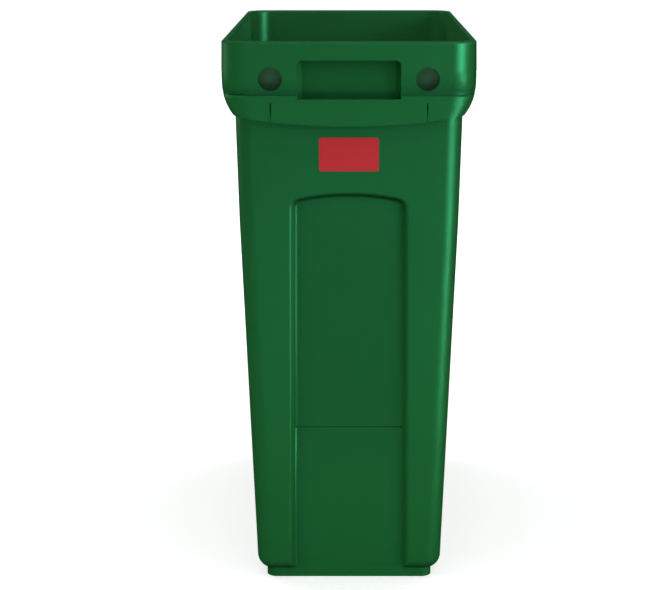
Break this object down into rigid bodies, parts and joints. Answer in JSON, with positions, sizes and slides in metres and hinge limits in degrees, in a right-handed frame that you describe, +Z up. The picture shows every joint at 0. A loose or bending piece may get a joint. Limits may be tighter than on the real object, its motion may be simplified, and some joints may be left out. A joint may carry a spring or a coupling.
{
  "type": "vented waste bin",
  "caption": "Slim open-top waste bin: tapered container with venting channels and end recesses, and a rim collar with hand grips and liner cinches.",
  "frame": {"origin": "on the floor under the middle of the bin", "axes": "+Z up out of the mouth, +Y along the length away from the end with the label, +X across the width"},
  "size_m": [0.2794, 0.5588, 0.6325],
  "materials": {
    "green_plastic": "semi-gloss moulded polyethylene",
    "label_film": "plain printed film, satin"
  },
  "bodies": {
    "root": {"container": "green_plastic", "rim_collar": "green_plastic", "label_plate": "label_film"}
  },
  "joints": []
}
